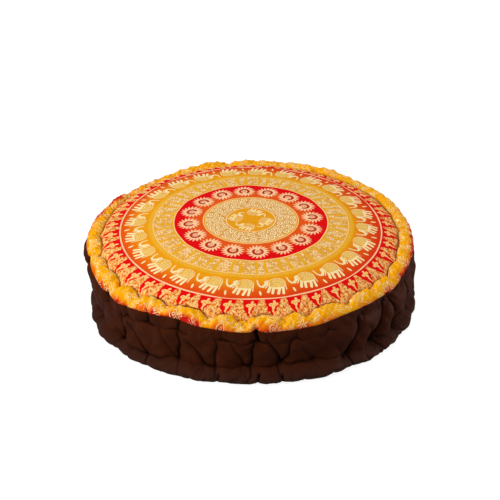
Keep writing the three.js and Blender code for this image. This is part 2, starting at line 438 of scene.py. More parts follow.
stitchHere = pinches("groove", "pinch", "flat", topPanel["stitchReach"])
notchHere = pinches("upper", "notch", None, topPanel["notchReach"])
rollHeight = topPanel["rollHeight"] + topPanel["rollFollowsSeam"] * (seamHeight - pouf["seamHeight"])
seamAngle = np.degrees(np.arcsin(np.clip((seamHeight - rollHeight) / topPanel["rollRadius"], -0.9, 0.9)))
rollThinner = swells(topPanel["thinner"])
rollInward = swells(topPanel["inward"])
rollLift = swells(topPanel["lumps"])


def rollRow(share, sink):
    # one ring of the roll, from the groove (share 0) to the seam (share 1), sunk below its face
    angle = np.radians(topPanel["grooveAngle"] + (seamAngle - topPanel["grooveAngle"]) * share)
    crest = math.sin(math.pi * share ** topPanel["crest"])
    fat = topPanel["rollRadius"] - rollThinner * (1 - share)
    fat = fat + topPanel["rollSwell"] * (1 - stitchHere) * crest
    left = topPanel["stitchPullAtSeam"]
    pull = left + (1 - left) * (1 - share) ** topPanel["stitchPullFades"]
    fat = fat - topPanel["stitchPull"] * stitchHere * pull
    fat = fat - topPanel["notchPull"] * notchHere * share ** topPanel["notchRise"]
    always, atStitch, atNotch = topPanel["puckers"]
    puckers = always + atStitch * stitchHere + atNotch * notchHere
    puckers = puckers * math.sin(math.pi * min(share + topPanel["puckerStart"], 1.0))
    fat = fat + ripples(topPanel["rollRipple"], topPanel["puckerLean"] * share) * puckers
    fat = fat - topPanel["seamTuck"] * math.exp(-(1 - share) / topPanel["seamTuckReach"]) - sink
    centre = topPanel["rollCentre"] - rollInward + topPanel["thinnerAside"] * rollThinner * (1 - share)
    held = 1 - topPanel["grooveLiftLess"] * stitchHere
    lift = rollLift * crest + topPanel["grooveLift"] * held * (1 - share) ** topPanel["grooveLiftFades"]
    return centre + fat * np.cos(angle), rollHeight + lift + fat * np.sin(angle)


def slopeRow(share, sink):
    # one ring of the slope from the last round ring of the crown (share 0) to the groove (share 1)
    reach = pouf["crownReach"]
    grooveRadius, grooveHeight = rollRow(0.0, 0.0)
    radius = reach + (grooveRadius - reach) * share
    pull = crownHeight(grooveRadius) - grooveHeight
    soft = topPanel["slopeSoft"][0] + topPanel["slopeSoft"][1] * stitchHere
    drawn = pull * (np.exp(-(grooveRadius - radius) / soft) - np.exp(-(grooveRadius - reach) / soft))
    return radius, crownHeight(radius) - drawn - sink


def crownRing(radius, every, sink):
    height = np.full(columns, crownHeight(radius) - sink)
    lively = min(radius / topPanel["rippleReach"], 1.0) ** 2
    height = height + ripples(topPanel["crownRipple"], radius) * lively
    return np.full(columns, float(radius))[::every], height[::every]


def topFace(sink, rowStep, every):
    # the rings of one face of the panel; its back has fewer rows and columns
    rings = [crownRing(radius, max(step, every), sink) for radius, step in topPanel["crownRings"]]
    for makeRow, rows in ((slopeRow, topPanel["slopeRows"]), (rollRow, topPanel["rollRows"])):
        for share in np.linspace(0, 1, rows // rowStep + 1)[1:]:
            radius, height = makeRow(share, sink)
            rings.append((radius[::every], height[::every]))
    return rings


def flatPlaces(rings):
    # the place of every point on the flat cloth: its radius on the crown, then the length along the section
    crown = len(topPanel["crownRings"])
    groove = len(rings) - topPanel["rollRows"]
    reach = before = None
    flat = []
    for index, (radius, height) in enumerate(rings):
        if index < crown:
            reach = radius
        elif index == groove:
            reach = printSizes["grooveEdge"] + np.hypot(radius - before[0], height - before[1])
        else:
            reach = reach + np.hypot(radius - before[0], height - before[1])
        before = (radius, height)
        turn = theta[:: columns // len(radius)]
        flat.append(np.stack([reach * np.sin(turn), -reach * np.cos(turn)], axis=1))
    return flat


def paintedRimShade(face, count):
    # how deep in the groove or in a notch of the rim every point lies, kept as painted shade for the print's
    # colour
    shade = [np.zeros(1)]
    groove = len(face) - topPanel["rollRows"] - 1
    grooveRadius, grooveHeight = face[groove]
    for index, (radius, height) in enumerate(face):
        deep = np.zeros(len(radius))
        if index > len(topPanel["crownRings"]):
            gap = np.hypot(radius - grooveRadius, height - grooveHeight)
            share = max(0.0, (index - groove) / topPanel["rollRows"])
            if index > groove:
                notched = np.clip(notchHere - topPanel["notchShadeFrom"], 0, 1)
                inNotch = topPanel["notchShade"] * share ** topPanel["notchShadeRise"] * notched
                deep = np.exp(-gap / topPanel["grooveShade"]) + inNotch
            else:
                reach = topPanel["slopeShade"] - topPanel["slopeShadeLess"] * stitchHere
                edge = topPanel["slopeShadeEdge"]
                deep = 1.0 - np.clip((gap - reach) / edge + 0.5, 0, 1)
        shade.append(deep)
    shade = np.concatenate(shade)
    return np.concatenate([shade, np.zeros(count - len(shade))])


def makeTop():
    face = topFace(0.0, 1, 1)
    back = topFace(topPanel["cloth"], 2, 2)[::-1]
    rings = [place(*ring) for ring in face + back]
    peak = pouf["height"]
    piece, spans = ringBody("printedTop", (pouf["crownAside"], 0, peak), rings,
                            (pouf["crownAside"], 0, peak - topPanel["cloth"]))
    backFlat = [ring[:, :2] for ring in rings[len(face):]]
    flat = np.concatenate([np.zeros((1, 2))] + flatPlaces(face) + backFlat + [np.zeros((1, 2))])
    keepOnMesh(piece, "clothPlace", np.column_stack([flat, paintedRimShade(face, len(flat))]))
    return piece, spans, len(face), flat


# Brown side: one wall from the seam to the floor, drawn in along its folds

brownSide = dict(
    rows=64,
    wallRadius=299.0,
    flare=5.5,  # wider at the foot
    bow=3.0,  # fuller half way up
    footHeight=2.8,
    flareBetween=(75.0, 12.0),  # heights
    bowCurve=2.5,
    footTurnIn=5.0,
    footTurnReach=3.5,
    seamEase=4.0,  # the wall leaves the seam over this height
    seamHold=3.0,  # and its folds start over this
    softDepth=6.3,  # the hollow beside a fold
    softReach=9.5,
    softBy=(0.55, 0.5),  # wider beside a deeper fold
    lineDepth=2.6,  # the sharp fold itself
    lineReach=2.1,
    tuftDepth=5.0,  # the broad dimple round a lower stitch
    tuftReach=21.0,
    tuftBelow=0.8,  # a hard stitch's dimple ends sooner below it, where the foot swells
    drawnIn=8.0,  # the wall leans in towards the lower stitches
    drawnAbove=34.0,
    drawnBelow=6.0,
    footRoll=4.5,  # and the foot swells out below them
    footRollAt=13.0,
    footRollReach=9.0,
    waver=1.7,  # how far the folds stray from straight lines
    waverAcross=(8.5, 23),  # along the height and round the pouf
    waverUp=(23.0, 57),
    waverUpShare=0.7,
    foldEnds=0.6,  # what is left of a fold at its upper end
    puckerEnds=0.7,
    rimFold=(0.45, 0.6, 0.8),  # the fold up to the rim: its least depth, more at a notch, and at the rim
    foldNear=50.0,  # how far a fold is felt at all
    fanNear=60.0,
    stitchDepth=1.1,  # the short fold along a lower stitch
    stitchLeast=0.3,  # its share at the softest stitch
    upperFold=0.85,
    upperFades=0.3,  # what is left of the upper fold between two stitches
    upperGone=[(50, 28, 0.75), (-75, 16, 0.4)],  # and where it hardly shows: turn, width, how much less
    upperNear=15.0,  # how far along it a stitch is felt
    upperUneven=(0.4, [(9, 0, 1.0, 0.6), (14, 0, 2.0, 0.4)]),
    lowerFold=0.45,
    lowerUneven=(0.5, [(8, 0, 0.2, 0.6), (13, 0, 4.0, 0.4)]),
    lipRise=1.5,
    lipSag=6.0,  # the upper fold hangs lower between two stitches
    lipSagReach=12.0,
    fanDepth=0.8,  # the fine creases round a stitch
    fanFades=[(-75, 22, 0.6), (85, 16, 0.5)],  # fewer at both outlines: turn, width, how much less
    fanReach=15.0,
    fanRays=9,
    fanTwist=2.0,
    fanStart=4.0,
    fanBy=(0.4, 0.55),  # deeper round a harder stitch
    tuftLine=0.3,  # and the painted shade in the hollow at the stitch itself, which also holds the cloth there
    tuftLineReach=6.0,
    rippleLean=8,
    ripple=[(17, 0.8, 0.7, 0.7), (29, -1.6, 2.9, 0.6), (43, 2.3, 4.1, 0.45), (71, -3.0, 1.1, 0.3)],
    # broad hollows: turn, height, width in degrees, reach in height, depth
    waists=[(-92, 66, 16, 30, 7.0), (-82, 100, 12, 10, -3.5), (25, 48, 12, 22, 4.0), (-20, 66, 14, 24, 1.5),
            (54, 92, 19, 17, 11.0)],
    # turn, width in degrees, how far out
    footSpread=[(-50, 22, 4.0), (54, 22, 4.5), (0, 16, -4.0), (-94, 24, -18.0), (94, 20, -7.0),
                (180, 60, -7.0)],
    spreadBetween=(60.0, 10.0),  # heights
    # the stuffing's hidden upper face, under the crown: radius and how many columns share a point
    insideRings=[(60, 16), (120, 8), (180, 4), (225, 2), (250, 1)],
    insideDrop=10.0,
    insideRoll=(273.0, 104.0),  # and under the roll: radius and height
    seamLap=(5.0, 2.0),
    # and its underside, by the way in from the foot
    underRings=[(4.0, 1), (60.0, 2), (120.0, 4), (180.0, 8), (240.0, 16)],
    underRise=0.4,
    rowLength=1.65,  # cloth from row to row
)

# The wall is blown out as cloth between its stitches
sidePuff = dict(
    everyColumn=2,  # stays 2, because the columns between are filled in by pairs
    pressure=6.0,
    slack=0.025,  # spare cloth, as a share of its length
    mass=0.3,
    stiffness=15.0,
    shear=4.0,
    bending=0.05,
    frames=20,
    cap=7.0,  # the farthest that a point may move
    share=0.7,  # of the move that is kept
    calmer=0.3,  # and what of that is left just above the lower stitches
    calmBetween=(4.0, 45.0),  # heights above them
    # where more of it is kept: turn, width in degrees, share
    fuller=[(55, 17, 0.9), (24, 10, -0.4), (97, 16, -0.3), (-84, 20, -0.35), (180, 50, 0.2)],
    lowest=0.3,  # no point sinks below this share of the foot's height
    held=1.35,  # how firmly the folds hold the cloth
    weights=20,
)

seamRadius, seamRise = rollRow(1.0, 0.0)
upperTurns = np.array([row["upper"] for row in stitches])
fromUpper = np.min([np.abs(sideways(turn)) for turn in upperTurns], axis=0)
lipSag = brownSide["lipSag"] * (1 - np.exp(-fromUpper / brownSide["lipSagReach"]))
upperHeight = seamRise - pouf["lip"] + brownSide["lipRise"] - lipSag


def atTurn(values, turn):
    # a value kept for every column, read at an angle in degrees
    return float(values[np.argmin(np.abs(sideways(turn)))])


def wallFolds():
    # every fold of the side as (start turn, height), (end turn, height), depth at both ends
    folds = []
    fade = brownSide["foldEnds"]
    least, byNotch, atRim = brownSide["rimFold"]
    foot, pucker = hiddenStitches["footFold"], hiddenStitches["footPucker"]
    for index, row in enumerate(stitches):
        reach = math.degrees(row["span"] / pouf["girth"])
        leftEnd, rightEnd = (row["turn"] - reach, row["low"]), (row["turn"] + reach, row["low"])
        hold = brownSide["stitchDepth"] * min(1.0, brownSide["stitchLeast"] + row["tuft"])
        folds.append((leftEnd, rightEnd, hold, hold))
        folds.append((leftEnd, row["left"][:2], row["left"][2], fade * row["left"][2]))
        folds.append((rightEnd, row["right"][:2], row["right"][2], fade * row["right"][2]))
        upper = (row["upper"], atTurn(upperHeight, row["upper"]))
        rim = (row["upper"], atTurn(seamRise, row["upper"]))
        folds.append((upper, rim, least + byNotch * row["notch"], atRim * row["notch"]))
        if row not in frontStitches:
            down = row["turn"] + foot["stray"] * wobble(index, 11)
            folds.append(((row["turn"], row["low"]), (down, row["low"] - foot["drop"]), *foot["depths"]))
            beside = row["turn"] + pucker["aside"] + pucker["stray"] * wobble(index, 12)
            end = (beside + pucker["lean"], pucker["bottom"])
            folds.append(((beside, pucker["top"]), end, *pucker["depths"]))
    for start, end, depth in footPuckers:
        folds.append((start, end, depth, brownSide["puckerEnds"] * depth))
    return folds


def shapeWall():
    # the radius of the wall for every row and column, and how deep in a fold each point lies, which holds the
    # cloth and is painted as shade
    side = brownSide
    shares = np.linspace(0, 1, side["rows"] + 1)[:, None]
    height = seamRise + (side["footHeight"] - seamRise) * shares
    rise, turns = side["waverAcross"]
    strayAcross = side["waver"] * np.sin(height / rise + turns * theta)
    rise, turns = side["waverUp"]
    strayUp = side["waverUpShare"] * side["waver"] * np.sin(turns * theta + height / rise)
    level = height + strayUp
    hollow = np.zeros_like(height)
    line = np.zeros_like(height)
    wrinkle = np.zeros_like(height)
    dimple = np.zeros_like(height)

    def sink(part, gap, depth):
        wide = side["softReach"] * (side["softBy"][0] + side["softBy"][1] * depth)
        soft = side["softDepth"] * np.exp(-gap / wide)
        sharp = np.exp(-gap / side["lineReach"])
        hollow[:, part] += (depth * (soft + side["lineDepth"] * sharp)) ** 3
        # the sharp fold holds the cloth in the puff and is painted as shade in the brown
        line[:, part] = np.maximum(line[:, part], depth * sharp)

    for start, end, startDepth, endDepth in wallFolds():
        along = sideways(start[0])
        runX, runY = math.radians(end[0] - start[0]) * pouf["girth"], end[1] - start[1]
        part = np.abs(along - runX / 2) < abs(runX) / 2 + side["foldNear"]
        fromX, fromY = along[part][None, :] + strayAcross[:, part], level[:, part] - start[1]
        square = max(runX * runX + runY * runY, 1e-6)
        share = np.clip((fromX * runX + fromY * runY) / square, 0, 1)
        gap = np.hypot(fromX - share * runX, fromY - share * runY)
        sink(part, gap, startDepth + (endDepth - startDepth) * share)
    every = np.ones(columns, bool)
    nearUpper = side["upperFades"] + (1 - side["upperFades"]) * np.exp(-(fromUpper / side["upperNear"]) ** 2)
    uneven, waves = side["upperUneven"]
    unevenUpper = side["upperFold"] * nearUpper * (1 + uneven * ripples(waves, 0))
    unevenUpper = unevenUpper * (1 - swells(side["upperGone"]))
    sink(every, np.abs(level - upperHeight), unevenUpper)
    uneven, waves = side["lowerUneven"]
    unevenLower = side["lowerFold"] * (1 + uneven * ripples(waves, 0))
    sink(every, np.abs(level - lowHeight), unevenLower)
    for index, row in enumerate(stitches):
        # fine creases fan out from each stitch
        along = sideways(row["turn"])
        part = np.abs(along) < side["fanNear"]
        fromX, fromY = along[part][None, :], height[:, part] - row["low"]
        reach = np.hypot(fromX, fromY)
        rays = np.sin(side["fanRays"] * np.arctan2(fromY, fromX) + side["fanTwist"] * wobble(index, 14))
        fanned = side["fanBy"][0] + side["fanBy"][1] * row["tuft"]
        opened = 1 - np.exp(-reach / side["fanStart"])
        wrinkle[:, part] += fanned * rays * np.exp(-reach / side["fanReach"]) * opened
        dark = side["tuftLine"] * row["tuft"] * np.exp(-reach / side["tuftLineReach"])
        line[:, part] = np.maximum(line[:, part], dark)
        below = 1 + side["tuftBelow"] * min(max(row["tuft"] - 1.0, 0.0), 1.0)
        broad = np.hypot(fromX, np.where(fromY < 0, below * fromY, fromY))
        dimple[:, part] += row["tuft"] * np.exp(-(broad / side["tuftReach"]) ** 2)
    bow = side["bow"] * (1 - np.abs(2 * shares - 1) ** side["bowCurve"])
    radius = side["wallRadius"] + bow + side["flare"] * eased(height, *side["flareBetween"])
    radius = radius - side["footTurnIn"] * np.exp(-(height - side["footHeight"]) / side["footTurnReach"])
    lively = 1 - np.exp(-(seamRise - height) / side["seamHold"])
    fromLow = height - lowHeight
    lean = np.where(fromLow > 0, fromLow / side["drawnAbove"], fromLow / side["drawnBelow"])
    radius = radius - side["drawnIn"] * np.exp(-lean ** 2)
    radius = radius + side["footRoll"] * np.exp(-((height - side["footRollAt"]) / side["footRollReach"]) ** 2)
    fan = side["fanDepth"] * (1 - swells(side["fanFades"])) * wrinkle
    radius = radius - (np.cbrt(hollow) + side["tuftDepth"] * dimple - fan) * lively
    radius = radius + ripples(side["ripple"], side["rippleLean"] * shares) * lively
    for turn, waistHeight, width, reach, depth in side["waists"]:
        radius = radius - swells([(turn, width, depth)]) * np.exp(-((height - waistHeight) / reach) ** 2)
    radius = radius + swells(side["footSpread"]) * eased(height, *side["spreadBetween"])
    radius = radius + (seamRadius - radius) * np.exp(-(seamRise - height) / side["seamEase"])
    return radius, height, np.clip(line, 0, 1)


def puffWall(points, line):
    # cloth under pressure, held along its folds; the wall keeps how far it moved
    step = sidePuff["everyColumn"]
    coarse = points[:, ::step]
    rows, across = coarse.shape[:2]
    number = np.arange(rows * across).reshape(rows, across)
    after = np.roll(number, -1, axis=1)
    faces = np.stack([number[:-1], number[1:], after[1:], after[:-1]], axis=-1).reshape(-1, 4)
    mesh = bpy.data.meshes.new("sidePuff")
    mesh.from_pydata((coarse.reshape(-1, 3) * mm).tolist(), [], faces.tolist())
    cloth = bpy.data.objects.new("sidePuff", mesh)
    bpy.context.scene.collection.objects.link(cloth)
    held = np.clip(line[:, ::step] * sidePuff["held"], 0, 1)
    held[0] = held[-1] = 1.0
    levels = np.round(held.ravel() * sidePuff["weights"]).astype(int)
    group = cloth.vertex_groups.new(name="stitched")
    for level in range(1, sidePuff["weights"] + 1):
        group.add(np.nonzero(levels == level)[0].tolist(), level / sidePuff["weights"], "REPLACE")
    modifier = cloth.modifiers.new("sidePuff", "CLOTH")
    settings = modifier.settings
    settings.mass = sidePuff["mass"]
    settings.tension_stiffness = settings.compression_stiffness = sidePuff["stiffness"]
    settings.shear_stiffness = sidePuff["shear"]
    settings.bending_stiffness = sidePuff["bending"]
    settings.use_pressure = True
    settings.uniform_pressure_force = sidePuff["pressure"]
    settings.shrink_min = -sidePuff["slack"]
    settings.vertex_group_mass = "stitched"
    settings.effector_weights.gravity = 0.0
    modifier.collision_settings.use_collision = False
    scene = bpy.context.scene
    for frameNumber in range(1, sidePuff["frames"] + 1):
        scene.frame_set(frameNumber)
    puffed = cloth.evaluated_get(bpy.context.evaluated_depsgraph_get())
    moved = np.zeros(rows * across * 3)
    puffed.data.vertices.foreach_get("co", moved)
    move = moved.reshape(rows, across, 3) / mm - coarse
    far = np.linalg.norm(move, axis=2, keepdims=True)
    print("side puffed by up to", round(float(far.max()), 1), "mm, on average", round(float(far.mean()), 2))
    move = move * np.minimum(1.0, sidePuff["cap"] / np.maximum(far, 1e-6))
    kept = sidePuff["share"] + swells(sidePuff["fuller"])[::step]
    above = coarse[..., 2] - lowHeight[::step]
    risen = eased(above, *sidePuff["calmBetween"])
    calm = np.where(above > 0, sidePuff["calmer"] + (1 - sidePuff["calmer"]) * risen, 1.0)
    move = move * (kept * calm)[..., None]
    bpy.data.objects.remove(cloth)
    bpy.data.meshes.remove(mesh)
    scene.frame_set(1)
    # columns between two that were simulated take a smooth share of their neighbours
    whole = np.repeat(move, step, axis=1)
    whole[:, 1::2] = (9 * (move + np.roll(move, -1, 1)) - np.roll(move, 1, 1) - np.roll(move, -2, 1)) / 16
    whole = points + whole
    whole[..., 2] = np.maximum(whole[..., 2], brownSide["footHeight"] * sidePuff["lowest"])
    return whole


def makeSide():
    side = brownSide
    radius, height, line = shapeWall()
    hidden = []
    for ring, every in side["insideRings"]:
        count = columns // every
        hidden.append((np.full(count, float(ring)), np.full(count, crownHeight(ring) - side["insideDrop"])))
    hidden.append(tuple(np.full(columns, value) for value in side["insideRoll"]))
    hidden.append((seamRadius - side["seamLap"][0], seamRise - side["seamLap"][1]))
    under = []
    lowest = side["footHeight"] + side["underRise"]
    for inset, every in side["underRings"]:
        ring = (radius[-1] - inset)[::every]
        under.append((ring, np.full(len(ring), lowest)))
    wall = np.array([place(*ring) for ring in zip(radius, height)])
    wall = list(puffWall(wall, line))
    rings = [place(*ring) for ring in hidden] + wall + [place(*ring) for ring in under]
    piece = ringBody("brownSide", (0, 0, crownHeight(0) - side["insideDrop"]), rings, (0, 0, lowest))[0]
    weave = [np.zeros((1, 3))]
    for index, ring in enumerate(rings):
        every = columns // len(ring)
        row = index - len(hidden)
        # the fold's depth is painted as shade in the brown
        paintedShade = line[row] if 0 <= row < len(wall) else np.zeros(len(ring))
        down = np.full(len(ring), row * side["rowLength"])
        weave.append(np.column_stack([theta[::every] * pouf["girth"], down, paintedShade]))
    weave.append(np.zeros((1, 3)))
    keepOnMesh(piece, "clothPlace", np.concatenate(weave))
    return piece, radius[-1]


# Base panel: a flat round of the same cotton

basePanel = dict(
    cloth=1.6,  # thickness
    rings=[(60, 8), (120, 4), (180, 4), (240, 2), (286, 1)],  # radius and how many columns share a point
    edgeRise=2.2,
    edgeIn=0.6,
    edgeLap=(0.8, 0.5),  # its upper face ends further in and higher
)


def makeBase(footRadius):
    under = []
    over = []
    for radius, every in basePanel["rings"]:
        ring = np.full(columns // every, float(radius))
        under.append((ring, np.zeros(len(ring))))
        over.append((ring, np.full(len(ring), basePanel["cloth"])))
    edge = footRadius - basePanel["edgeIn"]
    under.append((edge, np.full(columns, basePanel["edgeRise"])))
    lapIn, lapUp = basePanel["edgeLap"]
    over.append((edge - lapIn, np.full(columns, basePanel["edgeRise"] + lapUp)))
    rings = [place(*ring) for ring in over + under[::-1]]
    piece = ringBody("basePanel", (0, 0, basePanel["cloth"]), rings, (0, 0, 0))[0]
    points = np.zeros(len(piece.data.vertices) * 3)
    piece.data.vertices.foreach_get("co", points)
    points = points.reshape(-1, 3) / mm
    keepOnMesh(piece, "clothPlace", points * (1.0, 1.0, 0.0))
    return piece


printedTop, topFaces, topRingCount, topFlat = makeTop()
print("printed top:", len(printedTop.data.polygons), "faces")
sidePiece, footRadius = makeSide()
print("brown side:", len(sidePiece.data.polygons), "faces")
basePiece = makeBase(footRadius)
print("base panel:", len(basePiece.data.polygons), "faces")


# Materials: every motif of the print is drawn from distances in millimetres on the flat cloth

def shade(red, green, blue):
    # a paint colour from its screen values
    linear = []
    for value in (red, green, blue):
        value = value / 255.0
        linear.append(value / 12.92 if value <= 0.04045 else ((value + 0.055) / 1.055) ** 2.4)
    return (*linear, 1.0)


printColours = dict(
    red=shade(226, 8, 15),
    innerOrange=shade(230, 85, 20),
    centreGold=shade(233, 156, 20),
    ringGold=shade(236, 169, 28),
    elephantGold=shade(237, 154, 14),
    footOrange=shade(227, 86, 13),
    edgeOrange=shade(222, 54, 15),
    rollYellow=shade(245, 168, 6),
    rollOrange=shade(236, 104, 14),
    rollRed=shade(196, 26, 14),
    cream=shade(252, 216, 156),
    scrollCream=shade(255, 228, 170),
    sunCream=shade(253, 203, 154),
    paleCream=shade(250, 226, 166),
    saddleGold=shade(230, 172, 44),
    paleGold=shade(236, 180, 84),
    deepGold=shade(196, 118, 10),
    leafCream=shade(251, 198, 118),
    leafGold=shade(237, 146, 56),
    leafShade=shade(186, 50, 14),
    darkRed=shade(186, 40, 16),
    paintedGrooveShade=shade(96, 34, 8),
)

bench = {}  # the node tree being drawn on


class Wire:
    # a number on its way through a material
    def __init__(self, socket):
        self.socket = socket

    def __add__(self, other):
        return sums("ADD", self, other)

    def __sub__(self, other):
        return sums("SUBTRACT", self, other)

    def __rsub__(self, other):
        return sums("SUBTRACT", other, self)

    def __mul__(self, other):
        return sums("MULTIPLY", self, other)

    def __truediv__(self, other):
        return sums("DIVIDE", self, other)

    def __abs__(self):
        return sums("ABSOLUTE", self)

    __radd__ = __add__
    __rmul__ = __mul__


def feed(socket, value):
    if isinstance(value, Wire):
        bench["tree"].links.new(value.socket, socket)
    else:
        socket.default_value = value


def sums(kind, *values, clamp=False):
    node = bench["tree"].nodes.new("ShaderNodeMath")
    node.operation = kind
    node.use_clamp = clamp
    for socket, value in zip(node.inputs, values):
        feed(socket, value)
    return Wire(node.outputs[0])


def either(*shapes):
    nearestShape = shapes[0]
    for shape in shapes[1:]:
        nearestShape = sums("MINIMUM", nearestShape, shape)
    return nearestShape


def both(*shapes):
    farthest = shapes[0]
    for shape in shapes[1:]:
        farthest = sums("MAXIMUM", farthest, shape)
    return farthest


def lengthOf(x, y):
    return sums("SQRT", sums("MULTIPLY_ADD", x, x, y * y))


def disc(x, y, centre, radius):
    return lengthOf(x - centre[0], y - centre[1]) - radius


def oval(x, y, centre, radii):
    across = (x - centre[0]) * (1.0 / radii[0])
    along = (y - centre[1]) * (1.0 / radii[1])
    return (lengthOf(across, along) - 1.0) * min(radii)


def stroke(x, y, start, end, half):
    runX, runY = end[0] - start[0], end[1] - start[1]
    square = runX * runX + runY * runY
    fromX, fromY = x - start[0], y - start[1]
    share = sums("MULTIPLY_ADD", fromX, runX / square, fromY * (runY / square), clamp=True)
    return lengthOf(fromX - share * runX, fromY - share * runY) - half


def slab(x, y, centre, halves):
    return both(abs(x - centre[0]) - halves[0], abs(y - centre[1]) - halves[1])


def outline(shape, half):
    return abs(shape) - half


def inked(shape, soft=0.5):
    # 1 inside a shape, 0 outside it
    return sums("MULTIPLY_ADD", shape, -1.0 / soft, 0.5, clamp=True)


def ramp(value, start, end):
    return sums("MULTIPLY_ADD", value, 1.0 / (end - start), -start / (end - start), clamp=True)


def paint(under, mask, over):
    node = bench["tree"].nodes.new("ShaderNodeMix")
    node.data_type = "RGBA"
    feed(node.inputs[0], mask)
    feed(node.inputs[6], under)
    feed(node.inputs[7], over)
    return Wire(node.outputs[2])


def joinVector(x, y, z=0.0):
    node = bench["tree"].nodes.new("ShaderNodeCombineXYZ")
    for socket, value in zip(node.inputs, (x, y, z)):
        feed(socket, value)
    return Wire(node.outputs[0])


def splitVector(vector):
    node = bench["tree"].nodes.new("ShaderNodeSeparateXYZ")
    feed(node.inputs[0], vector)
    return [Wire(output) for output in node.outputs]


def patches(x, y, size, feature="DISTANCE_TO_EDGE"):
    # small uneven patches: the distance to their edges, or to the middle with a random colour and the middle
    node = bench["tree"].nodes.new("ShaderNodeTexVoronoi")
    node.voronoi_dimensions = "2D"
    node.feature = feature
    node.inputs["Scale"].default_value = 1.0
    feed(node.inputs["Vector"], joinVector(x * (1.0 / size), y * (1.0 / size)))
    if feature == "DISTANCE_TO_EDGE":
        return Wire(node.outputs["Distance"]) * size
    return [Wire(node.outputs[name]) for name in ("Distance", "Color", "Position")]


def cloudy(x, y, size, detail=2.0):
    node = bench["tree"].nodes.new("ShaderNodeTexNoise")
    node.noise_dimensions = "2D"
    node.inputs["Scale"].default_value = 1.0
    node.inputs["Detail"].default_value = detail
    feed(node.inputs["Vector"], joinVector(x * (1.0 / size), y * (1.0 / size)))
    return Wire(node.outputs[0])


def clothPlace():
    # the flat place of a point on the cloth, and third how much painted shade it takes
    node = bench["tree"].nodes.new("ShaderNodeAttribute")
    node.attribute_name = "clothPlace"
    return splitVector(Wire(node.outputs["Vector"]))


def repeats(x, y, count, first):
    # the same motif count times round the middle; first is where one of them stands, in degrees
    turn = sums("ARCTAN2", x, y * -1.0)
    turns = sums("MULTIPLY_ADD", turn, count / (2 * math.pi), -first * count / 360.0)
    return (turns - sums("ROUND", turns)) * (2 * math.pi / count)


threads = dict(lift=0.0004, slub=4.0, slubBy=1.5)  # height in metres, size and share of the uneven yarn


def weaveLift(x, y, pitch, strength):
    # crossing threads as a bump
    step = 2 * math.pi / pitch
    crossing = sums("SINE", x * step) * sums("SINE", y * step)
    bump = bench["tree"].nodes.new("ShaderNodeBump")
    bump.inputs["Strength"].default_value = strength
    bump.inputs["Distance"].default_value = threads["lift"]
    feed(bump.inputs["Height"], crossing + cloudy(x, y, threads["slub"]) * threads["slubBy"])
    return Wire(bump.outputs[0])


def newCloth(name):
    material = bpy.data.materials.new(name)
    material.use_nodes = True
    bench["tree"] = material.node_tree
    return material, material.node_tree.nodes["Principled BSDF"]


# Blossoms among the leaves: which patches are darker, which have a dark heart, and the gaps between them
blossoms = dict(darker=(0.62, 0.66), heart=0.85, heartless=(0.5, 0.54), faraway=9.0, gap=0.34)


def foliage(x, y, size, light, middle, dark):
    # dense small leaves and blossoms
    distance, tint = patches(x, y, size, "F1")[:2]
    lucky = splitVector(tint)
    colour = paint(light, ramp(lucky[0], *blossoms["darker"]), middle)
    heart = distance * size - blossoms["heart"] + ramp(lucky[1], *blossoms["heartless"]) * blossoms["faraway"]
    edge = patches(x, y, size) - blossoms["gap"]
    return paint(colour, inked(either(heart, edge)), dark)


printFeel = dict(
    roughness=0.85,
    backRoughness=0.9,
    shine=0.08,
    weave=0.7,  # width of a thread
    weaveLift=0.25,
    mottle=0.1,  # uneven dye
    mottleSize=9.0,
    mottleDetail=4.0,
    paintedGrooveShadeBetween=(0.1, 1.1),  # where the painted shade of the groove starts and is full
)


def finishPrint(shader, x, y, paintedShade, colour):
    shader.inputs["Roughness"].default_value = printFeel["roughness"]
    shader.inputs["Specular IOR Level"].default_value = printFeel["shine"]
    uneven = cloudy(x, y, printFeel["mottleSize"], printFeel["mottleDetail"])
    mottle = sums("MULTIPLY_ADD", uneven, printFeel["mottle"], 1.0 - printFeel["mottle"] * 0.5)
    # painted shade in the sewn groove and the rim's notches
    colour = paint(colour, ramp(paintedShade, *printFeel["paintedGrooveShadeBetween"]), printColours["paintedGrooveShade"])
    node = bench["tree"].nodes.new("ShaderNodeVectorMath")
    node.operation = "SCALE"
    feed(node.inputs[0], colour)
    feed(node.inputs["Scale"], mottle)
    feed(shader.inputs["Base Color"], Wire(node.outputs[0]))
    feed(shader.inputs["Normal"], weaveLift(x, y, printFeel["weave"] * 2, printFeel["weaveLift"]))


elephantMotif = dict(
    body=((7, 6.4), (14.8, 13.8)),
    head=((-7.2, 8.8), (6.9, 6.4)),
    trunk=[((-11, 6), (-17, -1.5), 2.5), ((-17, -1.5), (-21.5, -0.8), 2.0), ((-21.5, -0.8), (-24.5, 5), 1.6),
           ((-24.5, 5), (-25.2, 14.5), 1.1)],
    legs=[((-4.5, -1), (-9.5, -14.5), 2.4), ((0.5, -4), (-2.2, -17), 2.3), ((11.5, -3), (7.5, -18), 2.5),
          ((17.2, 1), (16.4, -18.5), 2.2)],
    tail=((20.5, 9), (22.5, -9), 0.8),
    tusk=((-8, 2.5), (-13, -4.5), 0.9),
    saddle=((8.0, 9.8), (12.0, 11.6)),
    hem=1.3,  # the saddle cloth ends this far inside the body
    netSize=3.9,
    netLine=0.32,
    hemLine=0.35,
    earLine=0.6,
    ear=((-4.0, 7.5), (3.0, 5.0)),
    eye=((-9.8, 10.5), 0.8),
)


